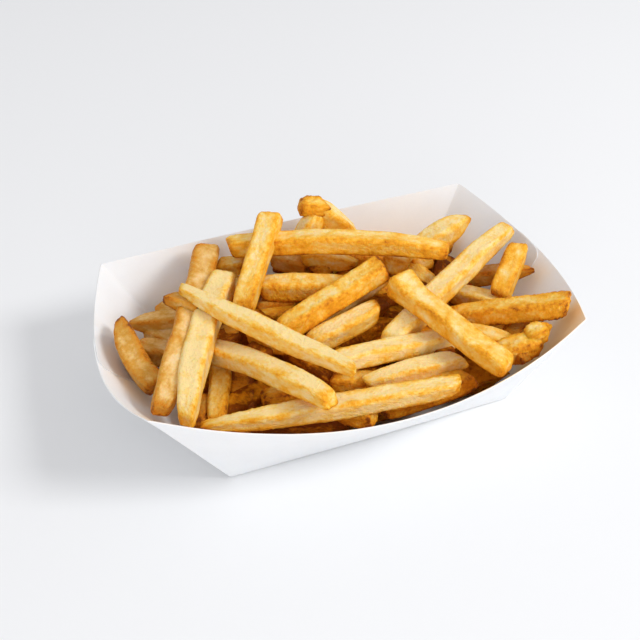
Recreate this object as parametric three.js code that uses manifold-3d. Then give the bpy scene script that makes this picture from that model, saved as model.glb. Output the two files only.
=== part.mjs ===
// A folded white paper food tray heaped with thick-cut french fries.
// Millimetres, +Z up. The origin is the middle of the tray's underside, +X runs along its length,
// and -Y is the side whose long wall leans out the most.

import * as THREE from 'three';
import { mergeVertices } from 'three/addons/utils/BufferGeometryUtils.js';
import Module from 'manifold-3d';

const wasm = await Module();
wasm.setup();

// ---------------------------------------------------------------- driving dimensions

// The tray: one sheet of paper board with four leaning walls.
const PAPER = 0.7; // thickness of the board
const BASE_HALF_LENGTH = 61.5; // fold lines round the flat base
const BASE_HALF_DEPTH = 45;
const RIM_HALF_LENGTH = 88; // corners of the open rim
const RIM_HALF_DEPTH = 57.7;
const RIM_HEIGHT = 45.5;
const LEAN = 1.16; // sideways thickness of a leaning wall over its true thickness

// Each wall keeps its slant height, so where the rim bows out it also dips.
const FRONT_BOW = 20.9;
const FRONT_DIP = 9.7;
const BACK_BOW = 1.7;
const BACK_DIP = 0.5;
const RIGHT_BOW = 12.5;
const RIGHT_DIP = 6.6;
const LEFT_BOW = 11.8;
const LEFT_DIP = 12;

// The front left corner is squeezed a little taller than the other three.
const SQUEEZE_OUT = 3;
const SQUEEZE_IN = 3.5;
const SQUEEZE_UP = 5;

// Each end is closed by two glued flaps: the back wall's flap lies inside the front wall's flap.
const INNER_FLAP_END = 0.53; // how far each flap reaches, as a share of the end measured from the back
const OUTER_FLAP_START = 0.3;
const FLAP_STEP = 0.004; // share of the end that the paper's cut edge takes up

// The fries: square sticks with soft edges.
const FRY_THINNESS = 0.93; // a fry's height over its width
const EDGE_SOFTNESS = 0.32; // how far the corners are cut back, as a share of the half width
const END_CHAMFER = 1.8; // length of the rounded stretch at each end
const END_ROUNDING = 0.9; // share of the section left by that stretch
const DEEP = 31.5; // an end below this height lies inside the heap and stays plain
const TAPER_POWER = 2.2; // how suddenly a fry narrows towards an end
const FLARE_POWER = 4.5; // how suddenly it widens towards one

// The packed middle of the heap, below the fries that show.
const CORE_GAP = 2; // space between the heap and the paper
const CORE_SIDE_HEIGHT = 15;
const CORE_TOP_HEIGHT = 27;

// The buried fries that close the heap between and below the ones laid on top.
const FILL_COUNT = 34;
const FILL_SEED = 20;
const FILL_HALF_LENGTH = 74; // ellipse that holds their middles
const FILL_HALF_DEPTH = 42;
const FILL_LONGEST = 76;
const FILL_SHORTEST = 42;
const FILL_LEAST = 26; // a buried fry that the walls leave shorter than this is left out
const FILL_WIDTH = 10.5;
const FILL_EDGE_HEIGHT = 15; // height of their middles at the walls and at the centre
const FILL_TOP_HEIGHT = 31;
const FILL_TILT = 4; // how much higher one end may lie than the other
const WALL_CLEARANCE = 1.4; // least space between a buried fry and the paper

const PAPER_COLOUR = 0xf4f4f3;
const FRY_COLOUR = 0xe8b04f;

// ---------------------------------------------------------------- fries laid by hand

// Each fry runs from one end of its middle line to the other, with its width. The options are
// its turn about that line in degrees, how far its middle bows sideways and upwards, and how
// much of its section is left at each end.
const LAID_FRIES = [
  // the long ones on top
  { from: [-61.3, 17.4, 52.4], to: [-11.8, -56.6, 50.4], width: 8.2, bow: [0, -1], ends: [0.5, 0.6] },
  { from: [-33, 41.5, 50], to: [54.5, 0.5, 51], width: 9.5, bow: [0, 4], ends: [0.95, 0.75] },
  { from: [-41, 50.5, 45], to: [-82.8, -40.5, 38.7], width: 12, turn: -6, bow: [1, 0], ends: [1, 0.72] },
  { from: [-39, 28, 45], to: [-77, -48, 39.5], width: 11, bow: [-3, 0], ends: [1.05, 0.6] },
  { from: [-12, 42, 62], to: [-38.5, 5, 43], width: 9.5, ends: [1.3, 0.95] },
  { from: [92.2, 14.9, 45.4], to: [12.1, -31.4, 35.4], width: 9.8, bow: [0, 1.5], ends: [0.75, 1] },
  { from: [26.3, -9, 49.2], to: [48.4, -67, 40.2], width: 9.6, bow: [-2, 1], ends: [1.6, 1] },
  { from: [24.4, 0.9, 50.8], to: [-27.2, -13.8, 42.4], width: 9.8, ends: [1.15, 1] },
  { from: [27, 5, 43], to: [-18, -5, 36], width: 9.5, ends: [0.7, 0.9] },
  { from: [-70.7, -46.2, 32.8], to: [29.3, -64.2, 35.8], width: 8.8, bow: [-1, 0], ends: [0.4, 0.8] },
  { from: [-55, -4, 33], to: [-24.5, -64.5, 46], width: 9.2, bow: [0, 2.5], ends: [1, 0.8] },
  { from: [43.8, -17.1, 30], to: [87, -46.5, 45.9], width: 9.6, ends: [0.8, 1.05] },

  // along the back and the right hand end
  { from: [1.5, 45, 61], to: [14.5, 40.5, 60], width: 8.2, ends: [1.25, 0.6] },
  { from: [9, 43, 59.5], to: [24.5, 40.5, 42], width: 11, ends: [0.95, 0.95] },
  { from: [7.8, 38.6, 58.5], to: [0, 39, 46], width: 10, ends: [0.6, 1] },
  { from: [-12, 46, 33], to: [34, 37, 33], width: 10 },
  { from: [20, 44, 25], to: [76, 37, 27], width: 10.5 },
  { from: [-69, 39, 24], to: [-22, 44, 25], width: 10.5 },
  { from: [34, 29, 29], to: [70, 33, 31], width: 10 },
  { from: [77, 26, 48], to: [49, 19, 41], width: 11, ends: [0.25, 0.9] },
  { from: [89.5, 0.5, 43], to: [70.2, -18.2, 34], width: 9.3, ends: [1.1, 1] },
  { from: [64, 7.5, 28], to: [92, -8.5, 37], width: 8, ends: [1, 0.4] },
  { from: [56.3, 0.1, 28], to: [70.6, -18.8, 31], width: 9 },
  { from: [52.9, -49.4, 31], to: [72.6, -51.6, 34.8], width: 10.6, ends: [1, 0.8] },
  { from: [66, -50, 36], to: [77.5, -49, 39], width: 8.5, ends: [1, 0.4] },
  { from: [60, -38, 24.5], to: [62, -57.5, 33.5], width: 7.5, ends: [1, 0.8] },
  { from: [46.9, -31.5, 31], to: [63, -43.9, 30], width: 9.5 },

  // the left hand end
  { from: [-87.7, 22.2, 39.2], to: [-81.6, -16.8, 32], width: 10.2, turn: 10, bow: [-2, 0], ends: [0.5, 0.95] },
  { from: [-83, 29.5, 30.8], to: [-58, 21.5, 31.2], width: 8.8, ends: [0.3, 1] },
  { from: [-69, 28, 26], to: [-56, 26.5, 26], width: 8 },
  { from: [-67, 19, 48], to: [-55.5, 8.5, 46.5], width: 7, ends: [0.7, 1] },
  { from: [-76, 29, 26], to: [-63, 8, 26], width: 10 },
  { from: [-84.5, 12, 31], to: [-62, 4, 25], width: 10 },

  // the middle
  { from: [-27, 20, 41], to: [10.5, 6.5, 40], width: 10.5 },
  { from: [15.9, -12, 39.1], to: [-18.6, -21, 37.1], width: 9.5 },
  { from: [24, -3, 34], to: [10, -8, 32], width: 8 },
  { from: [-15, -37, 40], to: [45, -34.5, 33], width: 8.6 },
  { from: [-4, -47, 33], to: [39.5, -46, 31], width: 9, ends: [0.6, 0.8] },
  { from: [-15, -37.5, 30], to: [5.5, -45, 28], width: 9 },
  { from: [-0.5, 35, 41], to: [20, 22.5, 39], width: 8.5, ends: [1, 0.4] },
  { from: [-14, 42, 39], to: [-0.5, 34, 36], width: 8.5 },
  { from: [2, 31.5, 36], to: [11, 27, 37], width: 7.5 },
  { from: [9.5, 28, 35], to: [16, 26.5, 36], width: 6.5 },
  { from: [14, 36.5, 36], to: [35, 27.5, 33.5], width: 9 },
  { from: [32, 18, 42], to: [40.5, 11, 40], width: 10 },
  { from: [43, 16.5, 38], to: [54.5, 18, 36], width: 9 },
  { from: [40.5, 15.5, 36], to: [49.5, 1, 30], width: 10 },
  { from: [9, 8, 34], to: [34, 5, 34], width: 9.5 },
  { from: [26, 4, 30], to: [14.5, -9.5, 24], width: 9 },
  { from: [-29, 18, 33], to: [-5, 14, 31], width: 9 },
  { from: [-31, 14, 30], to: [-11.5, 10.5, 30], width: 9 },
  { from: [-39.5, 42.5, 40], to: [-27.5, 39.5, 40], width: 8.5 },
  { from: [-48, 10, 28], to: [-29.5, 8.5, 28], width: 10 },
  { from: [-37.5, -1.5, 34], to: [-20.5, -15.5, 34], width: 9.5 },

  // the front, low against the long wall
  { from: [-50, 0, 26], to: [-63.5, -39, 26], width: 9 },
  { from: [-45, -6, 23], to: [-51, -35.5, 22], width: 11 },
  { from: [-64, -20.5, 25], to: [-71, -37, 25], width: 8 },
  { from: [-43.5, -35.5, 28], to: [-21, -41, 30], width: 9.5 },
  { from: [-2, -55, 25], to: [40, -54, 27], width: 10 },
  { from: [-16.7, -51.5, 27.4], to: [-6.2, -61.5, 28.4], width: 9.5 },
  { from: [-50, -38.5, 19], to: [-14, -53, 21], width: 9 },
  { from: [66, -1, 22], to: [69, -39, 22], width: 10 },
  { from: [80, -29, 31], to: [66, -38, 27], width: 9.5 },
  { from: [-23.5, -23.5, 22], to: [-5.5, -34, 22], width: 10 },
];

// ---------------------------------------------------------------- tray outline

const FRONT_LEFT = new THREE.Vector3(
  -RIM_HALF_LENGTH - SQUEEZE_OUT, -RIM_HALF_DEPTH + SQUEEZE_IN, RIM_HEIGHT + SQUEEZE_UP);
const FRONT_RIGHT = new THREE.Vector3(RIM_HALF_LENGTH, -RIM_HALF_DEPTH, RIM_HEIGHT);
const BACK_RIGHT = new THREE.Vector3(RIM_HALF_LENGTH, RIM_HALF_DEPTH, RIM_HEIGHT);
const BACK_LEFT = new THREE.Vector3(-RIM_HALF_LENGTH, RIM_HALF_DEPTH, RIM_HEIGHT);

// The four walls, anticlockwise seen from above. backShare gives how far a place along the wall
// lies from the back corner, which decides the flaps that cover it.
const WALLS = [
  {
    rim: [FRONT_LEFT, FRONT_RIGHT], side: [-1, -1, 1, -1], out: [0, -1],
    bow: FRONT_BOW, dip: FRONT_DIP, steps: 16, backShare: () => 1,
  },
  {
    rim: [FRONT_RIGHT, BACK_RIGHT], side: [1, -1, 1, 1], out: [1, 0],
    bow: RIGHT_BOW, dip: RIGHT_DIP, steps: 12, backShare: (t) => 1 - t,
  },
  {
    rim: [BACK_RIGHT, BACK_LEFT], side: [1, 1, -1, 1], out: [0, 1],
    bow: BACK_BOW, dip: BACK_DIP, steps: 8, backShare: () => 0,
  },
  {
    rim: [BACK_LEFT, FRONT_LEFT], side: [-1, 1, -1, -1], out: [-1, 0],
    bow: LEFT_BOW, dip: LEFT_DIP, steps: 12, backShare: (t) => t,
  },
];

function basePoint(wall, t) {
  const [x0, y0, x1, y1] = wall.side;
  return new THREE.Vector3(
    THREE.MathUtils.lerp(x0, x1, t) * BASE_HALF_LENGTH,
    THREE.MathUtils.lerp(y0, y1, t) * BASE_HALF_DEPTH,
    0,
  );
}

function rimPoint(wall, t) {
  const swell = 4 * t * (1 - t);
  const point = wall.rim[0].clone().lerp(wall.rim[1], t);
  point.x += wall.out[0] * wall.bow * swell;
  point.y += wall.out[1] * wall.bow * swell;
  point.z -= wall.dip * swell;
  return point;
}

// The point of a wall's middle surface at height z, on the straight line from fold to rim.
function wallPoint(wall, t, z) {
  const rim = rimPoint(wall, t);
  return basePoint(wall, t).lerp(rim, z / rim.z);
}

// The places along a wall where its outline is sampled: even steps, and both sides of the cut
// edge of each flap. The wall's far corner belongs to the next wall.
function stations(wall) {
  const places = [];
  for (let step = 0; step < wall.steps; step += 1) places.push(step / wall.steps);
  const isEnd = wall.out[0] !== 0;
  if (isEnd) {
    for (const edge of [INNER_FLAP_END, OUTER_FLAP_START]) {
      const t = wall.out[0] > 0 ? 1 - edge : edge;
      places.push(t - FLAP_STEP / 2, t + FLAP_STEP / 2);
    }
  }
  return places.sort((a, b) => a - b);
}

// ---------------------------------------------------------------- tray solid

// Four closed loops round the tray: outside and inside, at the base and at the rim.
function trayLoops() {
  const loops = { outerBase: [], outerRim: [], innerRim: [], innerBase: [] };
  WALLS.forEach((wall, index) => {
    const previous = WALLS[(index + WALLS.length - 1) % WALLS.length];
    for (const t of stations(wall)) {
      const share = wall.backShare(t);
      const outer = share > OUTER_FLAP_START ? PAPER * LEAN : 0;
      const inner = share < INNER_FLAP_END ? PAPER * LEAN : 0;
      const out = new THREE.Vector3(wall.out[0], wall.out[1], 0);
      if (t === 0) out.add(new THREE.Vector3(previous.out[0], previous.out[1], 0));
      loops.outerBase.push(basePoint(wall, t).addScaledVector(out, outer));
      loops.outerRim.push(rimPoint(wall, t).addScaledVector(out, outer));
      loops.innerRim.push(rimPoint(wall, t).addScaledVector(out, -inner));
      loops.innerBase.push(wallPoint(wall, t, PAPER).addScaledVector(out, -inner));
    }
  });
  return loops;
}

// Adds the strip of triangles between two loops with the same number of points.
function addStrip(triangles, lower, upper) {
  for (let i = 0; i < lower.length; i += 1) {
    const next = (i + 1) % lower.length;
    triangles.push([lower[i], lower[next], upper[next]]);
    triangles.push([lower[i], upper[next], upper[i]]);
  }
}

// Closes a loop with triangles that meet in one point.
function addFan(triangles, loop, hub) {
  for (let i = 0; i < loop.length; i += 1) triangles.push([hub, loop[i], loop[(i + 1) % loop.length]]);
}

function geometryOf(triangles) {
  const position = new Float32Array(triangles.flat().flatMap((point) => point.toArray()));
  const soup = new THREE.BufferGeometry();
  soup.setAttribute('position', new THREE.BufferAttribute(position, 3));
  return mergeVertices(soup, 1e-4);
}

function trayGeometry() {
  const { outerBase, outerRim, innerRim, innerBase } = trayLoops();
  const triangles = [];
  addStrip(triangles, outerBase, outerRim);
  addStrip(triangles, outerRim, innerRim);
  addStrip(triangles, innerRim, innerBase);
  addFan(triangles, innerBase, new THREE.Vector3(0, 0, PAPER));
  addFan(triangles, [...outerBase].reverse(), new THREE.Vector3(0, 0, 0));
  return geometryOf(triangles);
}

// ---------------------------------------------------------------- heap of fries

// The section of a fry: a rectangle with its corners cut back, anticlockwise.
function frySection(width) {
  const half = width / 2;
  const cut = half * (1 - EDGE_SOFTNESS);
  const outline = [
    [half, -cut], [half, cut], [cut, half], [-cut, half],
    [-half, cut], [-half, -cut], [-cut, -half], [cut, -half],
  ];
  return outline.map(([across, up]) => [across, up * FRY_THINNESS]);
}

// How much of a fry's section is left at a share t of its length, before its ends are rounded.
function fryScale(t, ends) {
  const end = t < 0.5 ? ends[0] : ends[1];
  const power = end > 1 ? FLARE_POWER : TAPER_POWER;
  return 1 + (end - 1) * Math.abs(2 * t - 1) ** power;
}

// The places along a fry where its section changes, each with the share of the section that it
// keeps: both ends, their rounding, the middle of a bow, and where a bow, taper or flare sets in.
function fryStations({ heights, length, bow, ends }) {
  const bends = Math.hypot(...bow) > 1.2;
  const stations = bends ? [[0.5, 1]] : [];
  heights.forEach((height, end) => {
    const share = (t) => (end === 0 ? t : 1 - t);
    const scale = (t) => fryScale(t, ends);
    const rounding = height > DEEP ? END_ROUNDING : 1;
    stations.push([share(0), rounding * scale(share(0))]);
    if (rounding < 1) stations.push([share(END_CHAMFER / length), scale(share(END_CHAMFER / length))]);
    if (bends || ends[end] < 0.75 || ends[end] > 1.1) stations.push([share(0.24), scale(share(0.24))]);
  });
  return stations.sort((a, b) => a[0] - b[0]);
}

// One fry: its section carried along a slightly bowed middle line, narrower or wider at its ends.
function fryGeometry({ from, to, width, turn = 0, bow = [0, 0], ends = [0.9, 0.9] }) {
  const start = new THREE.Vector3(...from);
  const finish = new THREE.Vector3(...to);
  const along = finish.clone().sub(start);
  const length = along.length();
  along.normalize();
  const across = new THREE.Vector3(0, 0, 1).cross(along).normalize();
  const up = along.clone().cross(across);
  across.applyAxisAngle(along, THREE.MathUtils.degToRad(turn));
  up.applyAxisAngle(along, THREE.MathUtils.degToRad(turn));
  const middle = start.clone().lerp(finish, 0.5);
  middle.addScaledVector(across, 2 * bow[0]).addScaledVector(up, 2 * bow[1]);
  const line = new THREE.QuadraticBezierCurve3(start, middle, finish);

  const loops = fryStations({ heights: [from[2], to[2]], length, bow, ends }).map(([t, scale]) => (
    frySection(width * scale).map(([a, b]) => (
      line.getPoint(t).addScaledVector(across, a).addScaledVector(up, b)))));
  const triangles = [];
  for (let ring = 1; ring < loops.length; ring += 1) addStrip(triangles, loops[ring - 1], loops[ring]);
  addFan(triangles, [...loops[0]].reverse(), start);
  addFan(triangles, loops[loops.length - 1], finish);
  return geometryOf(triangles);
}

// A ring of points that follows the tray's inside at height z, shrunk towards the middle.
function heapRing(z, shrink) {
  const points = [];
  for (const wall of WALLS) {
    for (let step = 0; step < wall.steps; step += 2) {
      const t = step / wall.steps;
      const point = wallPoint(wall, t, z);
      const inset = PAPER * LEAN + CORE_GAP;
      point.x -= Math.sign(point.x) * (Math.abs(wall.out[0]) || t === 0 ? inset : 0);
      point.y -= Math.sign(point.y) * (Math.abs(wall.out[1]) || t === 0 ? inset : 0);
      points.push(point.multiply(new THREE.Vector3(shrink, shrink, 1)));
    }
  }
  return points;
}

// The packed middle: it stands on the tray's floor, follows its walls and rounds off on top.
function coreGeometry() {
  const rise = CORE_TOP_HEIGHT - CORE_SIDE_HEIGHT;
  const rings = [heapRing(PAPER + CORE_GAP, 1), heapRing(CORE_SIDE_HEIGHT, 1)];
  for (const shrink of [0.75, 0.4]) {
    const dome = heapRing(CORE_SIDE_HEIGHT, shrink);
    dome.forEach((point) => { point.z += rise * (1 - shrink * shrink); });
    rings.push(dome);
  }
  const triangles = [];
  for (let ring = 1; ring < rings.length; ring += 1) addStrip(triangles, rings[ring - 1], rings[ring]);
  addFan(triangles, rings[rings.length - 1], new THREE.Vector3(0, 0, CORE_TOP_HEIGHT));
  addFan(triangles, [...rings[0]].reverse(), new THREE.Vector3(0, 0, PAPER + CORE_GAP));
  return geometryOf(triangles);
}

// How far a point lies inside the nearest wall, measured sideways. Above the rim a wall counts
// as going straight up.
function spaceToWalls(point) {
  const spaces = WALLS.map((wall) => {
    const alongX = wall.out[0] === 0;
    const height = Math.min(point.z, RIM_HEIGHT - wall.dip);
    const first = wallPoint(wall, 0, height);
    const last = wallPoint(wall, 1, height);
    const t = alongX
      ? (point.x - first.x) / (last.x - first.x)
      : (point.y - first.y) / (last.y - first.y);
    const face = wallPoint(wall, THREE.MathUtils.clamp(t, 0, 1), height);
    return alongX
      ? (face.y - point.y) * wall.out[1]
      : (face.x - point.x) * wall.out[0];
  });
  return Math.min(...spaces);
}

// A repeatable source of numbers between 0 and 1.
function seededNumbers(seed) {
  let state = seed;
  return () => {
    state = (state * 16807) % 2147483647;
    return state / 2147483647;
  };
}

// Height of a buried fry's middle: highest at the centre of the heap, lowest at the walls.
function fillHeight(x, y) {
  const reach = (x / FILL_HALF_LENGTH) ** 2 + (y / FILL_HALF_DEPTH) ** 2;
  return FILL_EDGE_HEIGHT + (FILL_TOP_HEIGHT - FILL_EDGE_HEIGHT) * Math.max(0, 1 - reach);
}

// Pulls one end of a fry towards its middle until the end is clear of the walls.
function pullClear(end, centre) {
  const room = FILL_WIDTH / 2 + PAPER * LEAN + WALL_CLEARANCE;
  const lowest = new THREE.Vector3();
  for (let pull = 0; pull < 20; pull += 1) {
    lowest.copy(end).z -= FILL_WIDTH / 2;
    if (spaceToWalls(lowest) > room) break;
    end.lerp(centre, 0.1);
  }
  return end;
}

// The buried fries, wound outwards from the centre with the longest first.
function fillFries() {
  const next = seededNumbers(FILL_SEED);
  const goldenAngle = Math.PI * (3 - Math.sqrt(5));
  const fries = [];
  for (let i = 0; i < FILL_COUNT; i += 1) {
    const share = (i + 0.5) / FILL_COUNT;
    const reach = Math.sqrt(share);
    const x = FILL_HALF_LENGTH * reach * Math.cos(i * goldenAngle);
    const y = FILL_HALF_DEPTH * reach * Math.sin(i * goldenAngle);
    const centre = new THREE.Vector3(x, y, fillHeight(x, y));
    const heading = Math.PI * next();
    const tilt = FILL_TILT * (2 * next() - 1);
    const half = THREE.MathUtils.lerp(FILL_LONGEST, FILL_SHORTEST, share) / 2;
    const ray = new THREE.Vector3(Math.cos(heading) * half, Math.sin(heading) * half, tilt);
    const from = pullClear(centre.clone().sub(ray), centre);
    const to = pullClear(centre.clone().add(ray), centre);
    const turn = 30 * next();
    if (from.distanceTo(to) < FILL_LEAST) continue;
    fries.push({ from: from.toArray(), to: to.toArray(), width: FILL_WIDTH, turn });
  }
  return fries;
}

// ---------------------------------------------------------------- joining

function solidOf(geometry) {
  const vertProperties = geometry.attributes.position.array;
  const triVerts = new Uint32Array(geometry.index.array);
  return new wasm.Manifold(new wasm.Mesh({ numProp: 3, vertProperties, triVerts }));
}

// The largest closed skin of a solid, without its loose scraps and sealed hollows.
function largestSkin(solid) {
  const skins = solid.decompose().sort((a, b) => b.volume() - a.volume());
  const mesh = skins[0].getMesh();
  const geometry = new THREE.BufferGeometry();
  geometry.setAttribute('position', new THREE.BufferAttribute(mesh.vertProperties, 3));
  geometry.setIndex(new THREE.BufferAttribute(mesh.triVerts, 1));
  return geometry;
}

function heapGeometry() {
  const pieces = [...LAID_FRIES, ...fillFries()].map(fryGeometry);
  const heap = pieces.reduce((solid, piece) => solid.add(solidOf(piece)), solidOf(coreGeometry()));
  return largestSkin(heap);
}

// ---------------------------------------------------------------- the object

function namedMesh(name, geometry, colour, roughness) {
  const material = new THREE.MeshStandardMaterial({ color: colour, roughness, metalness: 0 });
  const mesh = new THREE.Mesh(geometry, material);
  mesh.name = name;
  return mesh;
}

const group = new THREE.Group();
group.add(namedMesh('tray', trayGeometry(), PAPER_COLOUR, 0.7));
group.add(namedMesh('fries', heapGeometry(), FRY_COLOUR, 0.6));

export default group;
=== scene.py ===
"""A folded white paper food tray heaped with thick-cut french fries.

Metres, +Z up. The origin is the middle of the tray's underside, +X runs along its length, and -Y is the side
whose long wall leans out the most.
"""

import logging
import math
from dataclasses import dataclass, field
from enum import Enum, IntEnum
from typing import Callable, Iterator, Sequence

import bmesh
import bpy
import numpy as np
from mathutils import Matrix, Vector
from mathutils.kdtree import KDTree


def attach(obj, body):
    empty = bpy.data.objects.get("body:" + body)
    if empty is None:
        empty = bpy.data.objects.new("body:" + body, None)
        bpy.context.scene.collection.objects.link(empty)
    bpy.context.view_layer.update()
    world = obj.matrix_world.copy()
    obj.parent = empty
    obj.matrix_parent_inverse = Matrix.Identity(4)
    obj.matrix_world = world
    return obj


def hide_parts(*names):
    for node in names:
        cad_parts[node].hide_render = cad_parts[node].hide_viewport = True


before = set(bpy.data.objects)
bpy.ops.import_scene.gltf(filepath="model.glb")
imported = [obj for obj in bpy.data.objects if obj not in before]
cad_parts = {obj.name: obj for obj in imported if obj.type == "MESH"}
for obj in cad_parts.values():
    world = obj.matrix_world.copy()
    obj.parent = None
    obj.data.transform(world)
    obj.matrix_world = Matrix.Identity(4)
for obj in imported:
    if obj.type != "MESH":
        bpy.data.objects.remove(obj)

LOG = logging.getLogger("fries")
BODY = "root"
MM = 0.001
SLIVER = 1e-6

Point = tuple[float, float, float]
Colour = tuple[float, float, float]


# ------------------------------------------------------------------------------------------ modelling helpers


def clear_selection() -> None:
    """Leaves edit mode and deselects every object."""
    if bpy.context.mode != "OBJECT":
        bpy.ops.object.mode_set(mode="OBJECT")
    bpy.ops.object.select_all(action="DESELECT")


def activate(piece: bpy.types.Object) -> None:
    """Makes one piece the only selected and the active one.

    Args:
        piece: the object that the next operators act on.
    """
    clear_selection()
    piece.select_set(True)
    bpy.context.view_layer.objects.active = piece


def apply_modifiers(piece: bpy.types.Object) -> None:
    """Applies every modifier of a piece, in their order.

    Args:
        piece: the object whose modifiers become its mesh.
    """
    activate(piece)
    for name in [modifier.name for modifier in piece.modifiers]:
        bpy.ops.object.modifier_apply(modifier=name)


def pick_edges(piece: bpy.types.Object, wanted: Callable[[Vector, Vector], bool]) -> None:
    """Selects edges of the piece in edit mode.

    Args:
        piece: the object in edit mode.
        wanted: says of an edge's two ends whether the edge is selected.
    """
    bpy.ops.mesh.select_mode(type="EDGE")
    bpy.ops.mesh.select_all(action="DESELECT")
    mesh = bmesh.from_edit_mesh(piece.data)
    for edge in mesh.edges:
        edge.select_set(wanted(edge.verts[0].co, edge.verts[1].co))
    bmesh.update_edit_mesh(piece.data)


def add_relief(piece: bpy.types.Object, name: str, size: float, depth: float, group: str = "",
               basis: str = "BLENDER_ORIGINAL", layers: int = 2) -> None:
    """Adds a modifier that lifts and sinks a piece's surface by soft noise.

    Args:
        piece: the object to shape.
        name: the modifier's name and the texture's.
        size: width of a lump in metres.
        depth: how far the surface may move, in metres.
        group: the vertex group that weights it, or nothing for the whole piece.
        basis: the noise's kind.
        layers: how many finer layers the noise has.
    """
    texture = bpy.data.textures.new(name, "CLOUDS")
    texture.noise_basis, texture.noise_scale, texture.noise_depth = basis, size, layers
    layer = piece.modifiers.new(name, "DISPLACE")
    layer.texture, layer.strength, layer.mid_level = texture, depth, 0.5
    layer.texture_coords, layer.vertex_group = "LOCAL", group


def give_finish(piece: bpy.types.Object, material: bpy.types.Material) -> None:
    """Makes a material the only one of a piece.

    Args:
        piece: the object to finish.
        material: its finish.
    """
    piece.data.materials.clear()
    piece.data.materials.append(material)


def vertex_places(piece: bpy.types.Object) -> np.ndarray:
    """Reads the places of a piece's vertices.

    Args:
        piece: the object whose mesh is read.

    Returns:
        One row of three for each vertex.
    """
    places = np.zeros(len(piece.data.vertices) * 3)
    piece.data.vertices.foreach_get("co", places)
    return places.reshape(-1, 3)


def set_attribute(piece: bpy.types.Object, name: str, values: np.ndarray) -> None:
    """Stores numbers or vectors on a piece's vertices.

    Args:
        piece: the object whose mesh gets the attribute.
        name: the attribute's name.
        values: one number, or one row of three, for each vertex.
    """
    is_vector = values.ndim > 1
    kind, key = ("FLOAT_VECTOR", "vector") if is_vector else ("FLOAT", "value")
    attribute = piece.data.attributes.get(name) or piece.data.attributes.new(name, kind, "POINT")
    attribute.data.foreach_set(key, values.astype(np.float32).ravel())


def get_attribute(piece: bpy.types.Object, name: str) -> np.ndarray:
    """Reads numbers or vectors from a piece's vertices.

    Args:
        piece: the object whose mesh has the attribute.
        name: the attribute's name.

    Returns:
        One number, or one row of three, for each vertex.
    """
    attribute = piece.data.attributes[name]
    is_vector = attribute.data_type == "FLOAT_VECTOR"
    values = np.zeros(len(attribute.data) * (3 if is_vector else 1), np.float32)
    attribute.data.foreach_get("vector" if is_vector else "value", values)
    return values.reshape(-1, 3) if is_vector else values


def set_group(piece: bpy.types.Object, name: str, weights: np.ndarray) -> None:
    """Stores weights on a piece's vertices as a vertex group, in steps of a sixteenth.

    Args:
        piece: the object that gets the group.
        name: the group's name.
        weights: one weight for each vertex.
    """
    steps = 16
    group = piece.vertex_groups.new(name=name)
    levels = np.rint(np.clip(weights, 0, 1) * steps).astype(int)
    for level in range(1, steps + 1):
        members = np.flatnonzero(levels == level).tolist()
        if members:
            group.add(members, level / steps, "REPLACE")


def smooth_step(low: float, high: float, values: np.ndarray) -> np.ndarray:
    """Rises smoothly from 0 at low to 1 at high."""
    share = np.clip((values - low) / (high - low), 0, 1)
    return share * share * (3 - 2 * share)


def seeded_numbers(seed: int) -> Iterator[float]:
    """A repeatable source of numbers between 0 and 1, the same one that lays the solid model's fries.

    Args:
        seed: where the series starts.

    Returns:
        An endless iterator.
    """
    factor, modulus = 16807, 2147483647
    state = seed
    while True:
        state = (state * factor) % modulus
        yield state / modulus


# ------------------------------------------------------------------------------------------ finishes


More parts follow.
